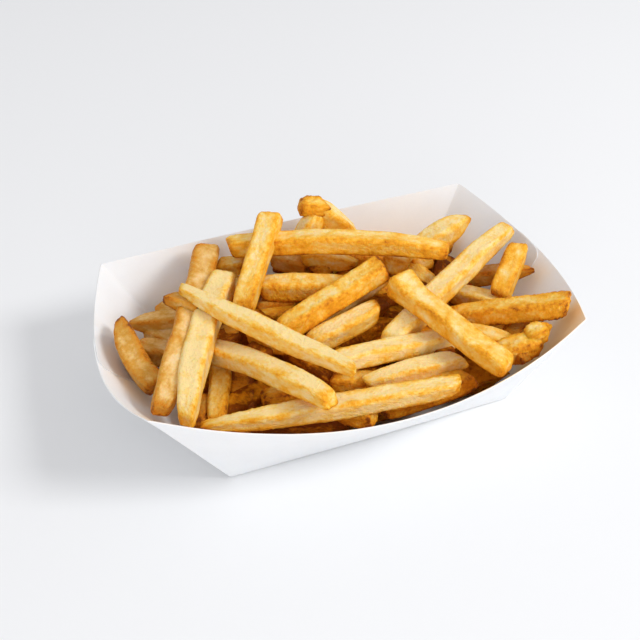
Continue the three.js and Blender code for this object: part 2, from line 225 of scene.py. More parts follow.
class Web:
    """The nodes of one material, and short ways to add to them."""

    def __init__(self, name: str) -> None:
        """Makes an empty material with a shader and an output.

        Args:
            name: the material's name.
        """
        self.material = bpy.data.materials.new(name)
        self.material.use_nodes = True
        self.tree = self.material.node_tree
        self.tree.nodes.clear()
        self.shader = self.add("ShaderNodeBsdfPrincipled")
        output = self.add("ShaderNodeOutputMaterial")
        self.tree.links.new(self.shader.outputs["BSDF"], output.inputs["Surface"])

    def add(self, kind: str, **settings: object) -> bpy.types.Node:
        """Adds a node.

        Args:
            kind: the node's type.
            settings: values for the node's own properties.

        Returns:
            The new node.
        """
        node = self.tree.nodes.new(kind)
        for name, value in settings.items():
            setattr(node, name, value)
        return node

    def feed(self, socket: bpy.types.NodeSocket, value: object) -> None:
        """Links an output to a socket, or sets the socket's own value.

        Args:
            socket: the input to fill.
            value: an output socket, a number or a tuple.
        """
        if isinstance(value, bpy.types.NodeSocket):
            self.tree.links.new(value, socket)
        else:
            socket.default_value = value

    def attribute(self, name: str) -> bpy.types.Node:
        """The node that reads a vertex attribute."""
        return self.add("ShaderNodeAttribute", attribute_name=name)

    def stretched(self, vector: bpy.types.NodeSocket, scale: Point) -> bpy.types.NodeSocket:
        """Scales a pattern's coordinates by a different amount each way.

        Args:
            vector: the coordinates.
            scale: the amount each way, below 1 for a longer pattern.

        Returns:
            The scaled coordinates.
        """
        node = self.add("ShaderNodeMapping")
        self.feed(node.inputs["Vector"], vector)
        self.feed(node.inputs["Scale"], scale)
        return node.outputs["Vector"]

    def noise(self, vector: bpy.types.NodeSocket, size: float, detail: float = 2.0,
              roughness: float = 0.5) -> bpy.types.NodeSocket:
        """Soft noise.

        Args:
            vector: coordinates in metres.
            size: width of a patch in metres.
            detail: how many finer layers it has.
            roughness: how strong those layers are.

        Returns:
            A value about 0.5.
        """
        node = self.add("ShaderNodeTexNoise")
        self.feed(node.inputs["Vector"], vector)
        self.feed(node.inputs["Scale"], 1 / size)
        self.feed(node.inputs["Detail"], detail)
        self.feed(node.inputs["Roughness"], roughness)
        return node.outputs["Fac"]

    def cells(self, vector: bpy.types.NodeSocket, size: float) -> bpy.types.Node:
        """A field of cells.

        Args:
            vector: coordinates in metres.
            size: width of a cell in metres.

        Returns:
            The node, which gives the distance to each cell's middle and a colour for each.
        """
        node = self.add("ShaderNodeTexVoronoi")
        self.feed(node.inputs["Vector"], vector)
        self.feed(node.inputs["Scale"], 1 / size)
        return node

    def math(self, operation: str, first: object, second: object) -> bpy.types.NodeSocket:
        """Works out one sum on two values.

        Args:
            operation: the kind of sum.
            first: an output or a number.
            second: an output or a number.

        Returns:
            The result.
        """
        node = self.add("ShaderNodeMath", operation=operation)
        self.feed(node.inputs[0], first)
        self.feed(node.inputs[1], second)
        return node.outputs["Value"]

    def total(self, *terms: tuple[object, float]) -> bpy.types.NodeSocket:
        """Adds up values, each times its share.

        Args:
            terms: pairs of a value and its share.

        Returns:
            The sum.
        """
        result: object = 0.0
        for value, share in terms:
            node = self.add("ShaderNodeMath", operation="MULTIPLY_ADD")
            self.feed(node.inputs[0], value)
            self.feed(node.inputs[1], share)
            self.feed(node.inputs[2], result)
            result = node.outputs["Value"]
        return result

    def span(self, value: object, low: float, high: float, to_low: float = 0.0,
             to_high: float = 1.0) -> bpy.types.NodeSocket:
        """Maps a value from one range to another, and stops at its ends.

        Args:
            value: an output.
            low: where the first range starts.
            high: where it ends.
            to_low: where the second range starts.
            to_high: where it ends.

        Returns:
            The mapped value.
        """
        node = self.add("ShaderNodeMapRange", clamp=True)
        keys = ("Value", "From Min", "From Max", "To Min", "To Max")
        for key, number in zip(keys, (value, low, high, to_low, to_high)):
            self.feed(node.inputs[key], number)
        return node.outputs["Result"]

    def ramp(self, value: bpy.types.NodeSocket,
             stops: Sequence[tuple[float, Colour]]) -> bpy.types.NodeSocket:
        """Turns a value into a colour.

        Args:
            value: a number from 0 to 1.
            stops: pairs of a place on the ramp and its colour.

        Returns:
            The colour.
        """
        node = self.add("ShaderNodeValToRGB")
        elements = node.color_ramp.elements
        while len(elements) < len(stops):
            elements.new(1.0)
        for element, (place, colour) in zip(elements, stops):
            element.position = place
            element.color = (*colour, 1.0)
        self.feed(node.inputs["Fac"], value)
        return node.outputs["Color"]

    def mixed(self, share: object, first: object, second: object) -> bpy.types.NodeSocket:
        """Mixes two colours.

        Args:
            share: how much of the second colour, from 0 to 1.
            first: an output or a colour.
            second: an output or a colour.

        Returns:
            The mixed colour.
        """
        node = self.add("ShaderNodeMix", data_type="RGBA")
        share_input, first_input, second_input, mixed_output = 0, 6, 7, 2
        for number, value in ((share_input, share), (first_input, first), (second_input, second)):
            self.feed(node.inputs[number], (*value, 1.0) if isinstance(value, tuple) else value)
        return node.outputs[mixed_output]

    def bump(self, height: bpy.types.NodeSocket, depth: float) -> None:
        """Gives the shader fine relief.

        Args:
            height: the relief's height from 0 to 1.
            depth: how many metres deep it is.
        """
        node = self.add("ShaderNodeBump")
        self.feed(node.inputs["Height"], height)
        self.feed(node.inputs["Distance"], depth)
        self.feed(node.inputs["Strength"], 1.0)
        self.feed(self.shader.inputs["Normal"], node.outputs["Normal"])

    def set(self, **values: object) -> None:
        """Fills sockets of the shader, named with _ for a space."""
        for name, value in values.items():
            self.feed(self.shader.inputs[name.replace("_", " ")], value)


@dataclass(frozen=True)
class Pattern:
    """One noise pattern of a skin: the width of its patches, and its shares in the tone and in the relief."""

    size: float
    tone: float = 0.0
    relief: float = 0.0


@dataclass(frozen=True)
class FriedPotato:
    """Fried potato skin: cream where it is least fried, through gold and amber to brown at edges and ends.

    depth is how much darker the whole skin is, crust how dark the specks on the sharpest edges are, blister
    how deep the fine relief is, and stops where each colour lies between the palest and the darkest tone.
    least_edge is the share of an edge's browning where the mottles are palest.
    """

    name: str
    depth: float = 0.0
    edge_browning: float = 0.30
    crust: float = 0.12
    gloss: float = 0.22
    end_browning: float = 0.40
    blister: float = 0.0006
    broad: Pattern = Pattern(0.010, 0.24)
    patches: Pattern = Pattern(0.0042, 0.34)
    mottles: Pattern = Pattern(0.0016, 0.16, 0.35)
    specks: Pattern = Pattern(0.0005, 0.26, 0.55)
    bubbles: Pattern = Pattern(0.0013, relief=0.35)
    patch_stretch: Point = (0.85, 1.0, 1.0)
    speck_roughness: float = 0.7
    contrast: tuple[float, float] = (0.3, 0.7)
    own_tone: float = 0.6
    paleness: float = 0.46
    least_edge: float = 0.6
    crust_starts: float = 0.6
    crust_specks: tuple[float, float] = (0.35, 0.65)
    roughness: tuple[float, float] = (0.38, 0.58)
    stops: tuple[float, ...] = (0.04, 0.24, 0.46, 0.74, 1.0)
    cream: Colour = (1.0, 0.74, 0.33)
    straw: Colour = (0.98, 0.61, 0.13)
    gold: Colour = (0.93, 0.435, 0.022)
    amber: Colour = (0.68, 0.24, 0.007)
    brown: Colour = (0.24, 0.058, 0.003)
    pore: Colour = (0.45, 0.16, 0.02)
    pore_spacing: float = 0.0024
    pore_radii: tuple[float, float] = (0.04, 0.11)
    pore_darkness: float = 0.4
    pores_left_out: float = 0.62

    def material(self) -> bpy.types.Material:
        """Builds the nodes.

        Returns:
            The finished material.
        """
        web = Web(self.name)
        grain = web.attribute("grain").outputs["Vector"]
        streaks = web.stretched(grain, self.patch_stretch)
        broad = web.span(web.noise(grain, self.broad.size), *self.contrast)
        patches = web.span(web.noise(streaks, self.patches.size), *self.contrast)
        mottles = web.span(web.noise(grain, self.mottles.size), *self.contrast)
        specks = web.noise(grain, self.specks.size, roughness=self.speck_roughness)
        wear = web.attribute("edge_wear").outputs["Fac"]
        edge = web.math("MULTIPLY", wear, web.span(mottles, 0.0, 1.0, self.least_edge, 1.0))
        sharpest = web.span(wear, self.crust_starts, 1.0)
        crust = web.math("MULTIPLY", sharpest, web.span(specks, *self.crust_specks))
        end = web.attribute("end_wear").outputs["Fac"]
        # the tone carries how far each fry is fried, and also painted light and shade: paler tops, darker
        # undersides, darkened fries low in the heap
        tone = web.attribute("tone").outputs["Fac"]
        fried = web.total(
            (broad, self.broad.tone),
            (patches, self.patches.tone),
            (mottles, self.mottles.tone),
            (specks, self.specks.tone),
            (tone, self.own_tone),
            (edge, self.edge_browning),
            (crust, self.crust),
            (end, self.end_browning),
            (1.0, self.depth - self.paleness),
        )
        colours = (self.cream, self.straw, self.gold, self.amber, self.brown)
        skin = web.ramp(fried, tuple(zip(self.stops, colours)))
        pores = web.cells(grain, self.pore_spacing)
        chosen = web.math("GREATER_THAN", pores.outputs["Color"], self.pores_left_out)
        near_pore = web.span(pores.outputs["Distance"], *self.pore_radii, self.pore_darkness, 0.0)
        dots = web.math("MULTIPLY", near_pore, chosen)
        web.set(
            Base_Color=web.mixed(dots, skin, self.pore),
            Roughness=web.span(specks, *self.contrast, *self.roughness),
            IOR=1.42,
            Specular_IOR_Level=self.gloss,
            Subsurface_Weight=0.3,
            Subsurface_Radius=(0.0040, 0.0018, 0.0005),
            Subsurface_Scale=1.0,
            Coat_Weight=0.02,
            Coat_Roughness=0.3,
        )
        bubbles = web.cells(grain, self.bubbles.size).outputs["Distance"]
        relief = web.total(
            (specks, self.specks.relief), (mottles, self.mottles.relief), (bubbles, self.bubbles.relief))
        web.bump(relief, self.blister)
        return web.material


@dataclass(frozen=True)
class PaperBoard:
    """Smooth uncoated white paper board with faint fibres, and a painted orange tint of shade and warm light
    thrown back by the fries.
    """

    name: str = "white_paper_board"
    bright: Colour = (0.88, 0.89, 0.90)
    dull: Colour = (0.84, 0.85, 0.86)
    # painted shade and warm light thrown back by the fries, mixed into the paper's inner side near them
    painted_fry_tint_colour: Colour = (0.92, 0.50, 0.11)
    cloud_size: float = 0.018
    fibre_size: float = 0.0009
    fibre_stretch: Point = (1.0, 1.0, 2.6)
    fibre_roughness: float = 0.65
    fibre_depth: float = 0.00003
    detail: float = 3.0
    cloud_share: float = 0.6
    fibre_share: float = 0.4
    dull_until: float = 0.35
    bright_from: float = 0.6
    contrast: tuple[float, float] = (0.3, 0.7)
    roughness: tuple[float, float] = (0.5, 0.64)

    def material(self) -> bpy.types.Material:
        """Builds the nodes.

        Returns:
            The finished material.
        """
        web = Web(self.name)
        place = web.add("ShaderNodeTexCoord").outputs["Object"]
        cloud = web.noise(place, self.cloud_size, self.detail)
        stretched = web.stretched(place, self.fibre_stretch)
        fibres = web.noise(stretched, self.fibre_size, self.detail, self.fibre_roughness)
        mottle = web.total((cloud, self.cloud_share), (fibres, self.fibre_share))
        dry = web.ramp(mottle, ((self.dull_until, self.dull), (self.bright_from, self.bright)))
        # how much painted shade and warm light from the fries tints this spot of paper
        painted_fry_tint = web.attribute("painted_fry_tint").outputs["Fac"]
        web.set(
            Base_Color=web.mixed(painted_fry_tint, dry, self.painted_fry_tint_colour),
            Roughness=web.span(fibres, *self.contrast, *self.roughness),
            IOR=1.45,
            Specular_IOR_Level=0.35,
            Subsurface_Weight=0.45,
            Subsurface_Radius=(0.0016, 0.0014, 0.0012),
            Subsurface_Scale=1.0,
        )
        web.bump(fibres, self.fibre_depth)
        return web.material


@dataclass(frozen=True)
class StudioPaper:
    """The plain pale sheet that the tray stands on."""

    name: str = "studio_floor"
    colour: Colour = (0.86, 0.865, 0.875)
    cloud_size: float = 0.4
    shade: float = 0.985

    def material(self) -> bpy.types.Material:
        """Builds the nodes.

        Returns:
            The finished material.
        """
        web = Web(self.name)
        place = web.add("ShaderNodeTexCoord").outputs["Object"]
        cloud = web.noise(place, self.cloud_size)
        darker = tuple(self.shade * channel for channel in self.colour)
        web.set(Base_Color=web.mixed(cloud, self.colour, darker), Roughness=0.85, Specular_IOR_Level=0.2)
        return web.material


# ------------------------------------------------------------------------------------------ the paper tray


class Side(IntEnum):
    """The tray's walls, anticlockwise seen from above."""

    FRONT = 0
    RIGHT = 1
    BACK = 2
    LEFT = 3


@dataclass(frozen=True)
class Wall:
    """One leaning wall of the tray, a ruled surface from a straight base fold to a bowed rim."""

    rim_start: Vector
    rim_finish: Vector
    base_start: Vector
    base_finish: Vector
    out: Vector
    bow: float
    dip: float

    def rim(self, share: float) -> Vector:
        """The rim's point at a share of the wall's length.

        Args:
            share: 0 at the wall's start and 1 at its finish.

        Returns:
            The place.
        """
        swell = 4 * share * (1 - share)
        sway = self.bow * self.out - Vector((0, 0, self.dip))
        return self.rim_start.lerp(self.rim_finish, share) + swell * sway

    def base(self, share: float) -> Vector:
        """The base fold's point at a share of the wall's length."""
        return self.base_start.lerp(self.base_finish, share)

    def face(self, share: float, height: float) -> Vector:
        """The wall's middle surface at a height above the base."""
        rim = self.rim(share)
        return self.base(share).lerp(rim, height / rim.z)


@dataclass
class TrayShape:
    """Where the tray's folds and rims lie, shared by the paper and by the fries that must stay inside it.

    squeeze is how far the rim's front left corner is pushed out of place, and bows gives how far each wall's
    rim bows out and dips, in the order of Side.
    """

    base_half_length: float = 0.0615
    base_half_depth: float = 0.045
    rim_half_length: float = 0.088
    rim_half_depth: float = 0.0577
    rim_height: float = 0.0455
    squeeze: Point = (-0.003, 0.0035, 0.005)
    bows: tuple[tuple[float, float], ...] = (
        (0.0209, 0.0097), (0.0125, 0.0066), (0.0017, 0.0005), (0.0118, 0.0120))
    walls: list[Wall] = field(default_factory=list, init=False)

    def __post_init__(self) -> None:
        """Works out the four walls."""
        quarters = ((-1, -1), (1, -1), (1, 1), (-1, 1))
        rim_x, rim_y = self.rim_half_length, self.rim_half_depth
        fold_x, fold_y = self.base_half_length, self.base_half_depth
        rims = [Vector((x * rim_x, y * rim_y, self.rim_height)) for x, y in quarters]
        folds = [Vector((x * fold_x, y * fold_y, 0)) for x, y in quarters]
        rims[0] += Vector(self.squeeze)
        outs = ((0, -1, 0), (1, 0, 0), (0, 1, 0), (-1, 0, 0))
        for side, out, (bow, dip) in zip(Side, outs, self.bows):
            after = (side + 1) % len(Side)
            self.walls.append(Wall(rims[side], rims[after], folds[side], folds[after], Vector(out), bow, dip))

    def space_to_walls(self, point: Vector) -> float:
        """How far a point lies inside the nearest wall, measured sideways.

        Args:
            point: the place to measure from.

        Returns:
            The distance in metres, below 0 outside.
        """
        spaces = []
        for wall in self.walls:
            along, aside = (0, 1) if wall.out.x == 0 else (1, 0)
            height = min(point.z, self.rim_height - wall.dip)
            first, last = wall.face(0, height), wall.face(1, height)
            share = (point[along] - first[along]) / (last[along] - first[along])
            face = wall.face(min(max(share, 0), 1), height)
            spaces.append((face[aside] - point[aside]) * wall.out[aside])
        return min(spaces)


@dataclass(frozen=True)
class SheetRun:
    """One run of a paper sheet round the tray.

    parts are the walls that it covers, each with its share range and its columns, layer is how far the sheet
    lies out of the walls' middle surface, lifted says how far its lower edge hangs above the base, and
    corner_at gives the two places where it ends in a rounded corner.
    """

    parts: tuple[tuple[Side, float, float, int], ...]
    layer: float
    lifted: Callable[[Side, float], float]
    corner_at: tuple[tuple[Side, float], tuple[Side, float]]

    @property
    def columns(self) -> int:
        """How many columns of faces the run has."""
        return sum(columns for _, _, _, columns in self.parts)

    def locate(self, share: float) -> tuple[Side, float]:
        """The wall and the share along it for a share of the run.

        Args:
            share: 0 at the run's start and 1 at its finish.

        Returns:
            The wall's side and the share along that wall.
        """
        place = share * self.columns
        for side, start, finish, columns in self.parts:
            if place <= columns + SLIVER:
                return side, start + (finish - start) * place / columns
            place -= columns
        raise ValueError("a share of a run lies between 0 and 1")


@dataclass
class PaperTray:
    """The folded tray: an outer sheet makes its front, an inner one its back, and both are glued at the ends.

    outer_flap_start and inner_flap_end are where the sheets end on an end wall, as shares of it from its back
    corner. The paper's inner side near the food gets a painted orange tint, painted shade and warm light
    thrown
    back by the fries: its reach from the food is shorter than on the front wall, which begins between the two
    distances of front_starts, and one more painted patch of it lies round a given middle on the front wall.
    """

    shape: TrayShape
    board: float = 0.00048
    glue: float = 0.00004
    fold_reach: float = 0.0016
    inner_flap_end: float = 0.53
    outer_flap_start: float = 0.30
    flap_corner: float = 0.0075
    flap_lift: float = 0.0022
    flap_margin: float = 1e-4
    fold_rows: int = 4
    wall_rows: int = 12
    merge: float = 0.00002
    wave_size: float = 0.045
    wave_depth: float = 0.0006
    wave_heights: tuple[float, float] = (0.05, 0.5)
    crease: float = 0.0006
    crease_angle: float = 28.0
    sharp_angle: float = 22.0
    painted_tint_reach: float = 0.0035
    front_painted_tint_reach: float = 0.014
    front_starts: tuple[float, float] = (0.036, 0.050)
    painted_tint_most: float = 0.85
    painted_tint_step: int = 3
    painted_tint_spot: Point = (0.042, -0.064, 0.032)
    painted_tint_spot_reach: float = 0.022
    painted_tint_spot_sharpness: int = 4
    finish: PaperBoard = PaperBoard()

    def inner_lift(self, side: Side, share: float) -> float:
        """How far the inner sheet's lower edge hangs above the base, which it does on its flaps.

        Args:
            side: the wall.
            share: how far along the wall.

        Returns:
            The height in metres.
        """
        on_right_flap = side is Side.RIGHT and share < 1.0 - self.outer_flap_start - self.flap_margin
        on_left_flap = side is Side.LEFT and share > self.outer_flap_start + self.flap_margin
        return self.flap_lift * float(on_right_flap or on_left_flap)

    def runs(self) -> list[SheetRun]:
        """Lays out the two sheets.

        Returns:
            The outer sheet and the inner one, each as one run round the tray.
        """
        outer, inner = self.outer_flap_start, self.inner_flap_end
        layer = 0.5 * self.board + self.glue
        outer_run = SheetRun(
            parts=(
                (Side.LEFT, outer, 1.0, 26),
                (Side.FRONT, 0.0, 1.0, 56),
                (Side.RIGHT, 0.0, 1.0 - outer, 26),
            ),
            layer=layer,
            lifted=lambda side, share: 0.0,
            corner_at=((Side.LEFT, outer), (Side.RIGHT, 1.0 - outer)),
        )
        inner_run = SheetRun(
            parts=(
                (Side.RIGHT, 1.0 - inner, 1.0 - outer, 16),
                (Side.RIGHT, 1.0 - outer, 1.0, 12),
                (Side.BACK, 0.0, 1.0, 30),
                (Side.LEFT, 0.0, outer, 12),
                (Side.LEFT, outer, inner, 16),
            ),
            layer=-layer,
            lifted=self.inner_lift,
            corner_at=((Side.RIGHT, 1.0 - inner), (Side.LEFT, inner)),
        )
        return [outer_run, inner_run]

    def out_of(self, side: Side, share: float) -> Vector:
        """The sideways direction out of the tray at a place on its outline, both ways at a corner.

        Args:
            side: the wall.
            share: how far along the wall.

        Returns:
            The direction.
        """
        walls = self.shape.walls
        out = walls[side].out.copy()
        if share < SLIVER:
            out += walls[side - 1].out
        if share > 1 - SLIVER:
            out += walls[(side + 1) % len(Side)].out
        return out

    def sheet_point(self, run: SheetRun, share: float, row: int) -> Vector:
        """A point of a sheet's middle surface.

        Args:
            run: the sheet.
            share: how far round its run.
            row: the row of points, counted up from the base.

        Returns:
            The place.
        """
        side, along = run.locate(share)
        wall = self.shape.walls[side]
        out = self.out_of(side, along)
        fold, rim = wall.base(along), wall.rim(along)
        slant = (rim - fold).length
        lift = run.lifted(side, along)
        top = slant - self.corner_drop(run, side, along)
        reach = self.fold_reach
        if lift > 0:
            climb = lift + (top - lift) * row / (self.fold_rows + self.wall_rows)
        elif row <= self.fold_rows:
            climb = reach * row / self.fold_rows
        else:
            climb = reach + (top - reach) * (row - self.fold_rows) / self.wall_rows
        if climb >= reach:
            return fold.lerp(rim, climb / slant) + out * run.layer
        start = fold - out * reach
        bend = climb / reach
        curve = start.lerp(fold, bend).lerp(fold.lerp(fold.lerp(rim, reach / slant), bend), bend)
        return curve + out * run.layer * bend

    def corner_drop(self, run: SheetRun, side: Side, along: float) -> float:
        """How far a flap's rounded corner lies below the rim.

        Args:
            run: the sheet.
            side: the wall.
            along: how far along the wall.

        Returns:
            The drop in metres, 0 away from the sheet's corners.
        """
        radius = self.flap_corner
        wall = self.shape.walls[side]
        for corner_side, corner_along in run.corner_at:
            distance = (wall.rim(along) - wall.rim(corner_along)).length
            if corner_side is side and distance < radius:
                return radius - math.sqrt(radius**2 - (radius - distance) ** 2)
        return 0.0

    def build_sheet(self, run: SheetRun) -> bpy.types.Object:
        """Makes one sheet from a flat grid, folded round the tray.

        Args:
            run: where the sheet goes.

        Returns:
            The sheet, without thickness.
        """
        clear_selection()
        rows = self.fold_rows + self.wall_rows
        bpy.ops.mesh.primitive_grid_add(x_subdivisions=run.columns, y_subdivisions=rows, size=1)
        sheet = bpy.context.active_object
        for vertex in sheet.data.vertices:
            vertex.co = self.sheet_point(run, vertex.co.x + 0.5, round((vertex.co.y + 0.5) * rows))
        heights = vertex_places(sheet)[:, 2] / self.shape.rim_height
        set_group(sheet, "walls", smooth_step(*self.wave_heights, heights))
        return sheet

    def build(self) -> bpy.types.Object:
        """Folds and joins the sheets, closes the base and gives the paper its thickness.

        Returns:
            The finished tray.
        """
        sheets = [self.build_sheet(run) for run in self.runs()]
        activate(sheets[0])
        sheets[1].select_set(True)
        bpy.ops.object.join()
        tray = bpy.context.active_object
        tray.name = tray.data.name = "paper_tray"
        bpy.ops.object.mode_set(mode="EDIT")
        bpy.ops.mesh.select_all(action="SELECT")
        bpy.ops.mesh.remove_doubles(threshold=self.merge)
        pick_edges(tray, lambda a, b: max(a.z, b.z) < 0.5 * self.merge)
        bpy.ops.mesh.edge_face_add()
        bpy.ops.object.mode_set(mode="OBJECT")
        base = max(tray.data.polygons, key=lambda face: face.area)
        if base.normal.z > 0:
            base.flip()

        add_relief(tray, "paper_waves", self.wave_size, self.wave_depth, "walls")
        folds = tray.modifiers.new("folds", "BEVEL")
        folds.width, folds.segments, folds.angle_limit = self.crease, 2, math.radians(self.crease_angle)
        thick = tray.modifiers.new("board", "SOLIDIFY")
        thick.thickness, thick.offset = self.board, 0.0
        apply_modifiers(tray)
        tray.data.transform(Matrix.Translation((0, 0, -vertex_places(tray)[:, 2].min())))
        bpy.ops.object.shade_smooth_by_angle(angle=math.radians(self.sharp_angle))
        return tray

    def paint_fry_tint(self, tray: bpy.types.Object, food: Sequence[bpy.types.Object]) -> None:
        """Marks where the paper's inner side lies near the fries, for its painted tint of shade and warm
        light thrown back by them.

        Args:
            tray: the finished tray.
            food: the pieces that lie in it.
        """
        near = np.concatenate([vertex_places(piece)[::self.painted_tint_step] for piece in food])
        tree = KDTree(len(near))
        for number, place in enumerate(near):
            tree.insert(place, number)
        tree.balance()
        middle = Vector(self.painted_tint_spot)
        painted_fry_tint = []
        for vertex in tray.data.vertices:
            _, _, distance = tree.find(vertex.co)
            is_inner = vertex.normal.x * vertex.co.x + vertex.normal.y * vertex.co.y < 0
            in_front = float(smooth_step(*self.front_starts, -vertex.co.y))
            reach = self.painted_tint_reach + in_front * (self.front_painted_tint_reach - self.painted_tint_reach)
            off_tint_spot = (vertex.co - middle).length / self.painted_tint_spot_reach
            # painted shade and warm fry light: strongest next to the fries and round the painted patch on the
            # front wall
            tinted = max(math.exp(-(off_tint_spot**self.painted_tint_spot_sharpness)), math.exp(-distance / reach))
            painted_fry_tint.append(self.painted_tint_most * tinted * is_inner)
        set_attribute(tray, "painted_fry_tint", np.array(painted_fry_tint))

    def dress(self, tray: bpy.types.Object) -> None:
        """Gives the tray its paper finish and its place in the frame.

        Args:
            tray: the finished tray.
        """
        give_finish(tray, self.finish.material())
        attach(tray, BODY)
        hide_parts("tray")


# ------------------------------------------------------------------------------------------ the fries


class FryKind(Enum):
    """How a fry is fried, which is also the piece that it belongs to."""

    PALE = "fries_pale"
    GOLDEN = "fries_golden"
    BROWNED = "fries_browned_and_shaded"
    CRUMBLY = "fries_crumbly"
    KNOBBLY = "fries_knobbly"
    BURIED = "fries_buried"


@dataclass(frozen=True)
class Relief:
    """How rough a kind's surface is.

    cell is the width of its faces, reach how far its browned and rough ends go, corner the rounding of its
    edges, and the rest is how deep each layer of relief is.
    """

    cell: float = 0.0008
    reach: float = 0.0035
    lumps: float = 0.0003
    blisters: float = 0.0002
    crumbs: float = 0.00045
    corner: float = 0.0022


@dataclass(frozen=True)
class Fry:
    """One fry along its middle line, in millimetres, and what makes it differ from a straight stick.

    turn is in degrees about the middle line, bow moves its middle sideways and upwards, ends is the share of
    its section left at each end, browned says how dark each end is, and tone how far it is fried all over.
    """

    start: Point
    finish: Point
    width: float
    kind: FryKind = FryKind.GOLDEN
    turn: float = 0.0
    bow: tuple[float, float] = (0.0, 0.0)
    ends: tuple[float, float] = (0.9, 0.9)
    browned: tuple[float, float] = (0.5, 0.5)
    tone: float = 0.4

    @property
    def length(self) -> float:
        """Its length in metres."""
        return MM * (Vector(self.finish) - Vector(self.start)).length

    @property
    def girth(self) -> float:
        """Its width in metres."""
        return MM * self.width

    def placing(self) -> Matrix:
        """Works out where the fry lies.

        Returns:
            The matrix that carries a stick along X to the fry's place.
        """
        start, finish = MM * Vector(self.start), MM * Vector(self.finish)
        along = (finish - start).normalized()
        across = Vector((0, 0, 1)).cross(along).normalized()
        up = along.cross(across)
        turn = Matrix.Rotation(math.radians(self.turn), 3, along)
        axes = Matrix((along, turn @ across, turn @ up)).transposed()
        return Matrix.Translation((start + finish) / 2) @ axes.to_4x4()


@dataclass(frozen=True)
class FryBlank:
    """A straight stick of cut potato, lying along X about the origin, from which fries are copied.

    Places across the stick go from 0 in its middle to 1 at its edges: edge_from is where the edge's browning
    begins, and face_until where the sunk face ends.
    """

    length: float
    relief: Relief
    width: float = 0.011
    thinness: float = 0.93
    corner_steps: int = 4
    hollow: float = 0.0003
    edge_from: float = 0.3
    edge_roughness: float = 0.6
    face_until: float = 0.85

    def cut_along(self, blank: bpy.types.Object, axis: int) -> None:
        """Divides the edges that run along one axis.

        Args:
            blank: the stick in edit mode.
            axis: 0, 1 or 2.
        """
        size = (self.length, self.width, self.width * self.thinness)[axis] - 2 * self.relief.corner
        least = 0.9 * size
        pick_edges(blank, lambda a, b: abs(b[axis] - a[axis]) > least)
        bpy.ops.mesh.subdivide(number_cuts=max(1, round(size / self.relief.cell) - 1))

    def build(self) -> bpy.types.Object:
        """Cuts the stick, softens its edges, sinks its faces and marks its edges and ends.

        Returns:
            The blank, to be copied.
        """
        clear_selection()
        bpy.ops.mesh.primitive_cube_add(size=1)
        blank = bpy.context.active_object
        half = np.array((self.length, self.width, self.width * self.thinness)) / 2
        blank.scale = 2 * half
        bpy.ops.object.transform_apply(scale=True)
        bpy.ops.object.mode_set(mode="EDIT")
        bpy.ops.mesh.select_all(action="SELECT")
        bpy.ops.mesh.bevel(offset=self.relief.corner, segments=self.corner_steps, affect="EDGES")
        for axis in range(3):
            self.cut_along(blank, axis)
        bpy.ops.object.mode_set(mode="OBJECT")

        places = vertex_places(blank)
        closeness = np.sort(1 - (half - np.abs(places)) / half[1], axis=1)
        near_edge = smooth_step(self.edge_from, 1.0, closeness[:, 1])
        near_end = np.exp((np.abs(places[:, 0]) - half[0]) / self.relief.reach)
        set_attribute(blank, "edge_wear", near_edge)
        set_attribute(blank, "end_wear", near_end)
        set_attribute(blank, "grain", places)
        set_group(blank, "faces", 1 - smooth_step(0.0, self.face_until, closeness[:, 1]))
        set_group(blank, "rough", np.clip(self.edge_roughness * near_edge + near_end, 0, 1))
        sunk = blank.modifiers.new("sunk", "DISPLACE")
        sunk.strength, sunk.mid_level, sunk.vertex_group = -self.hollow, 0.0, "faces"
        apply_modifiers(blank)
        return blank


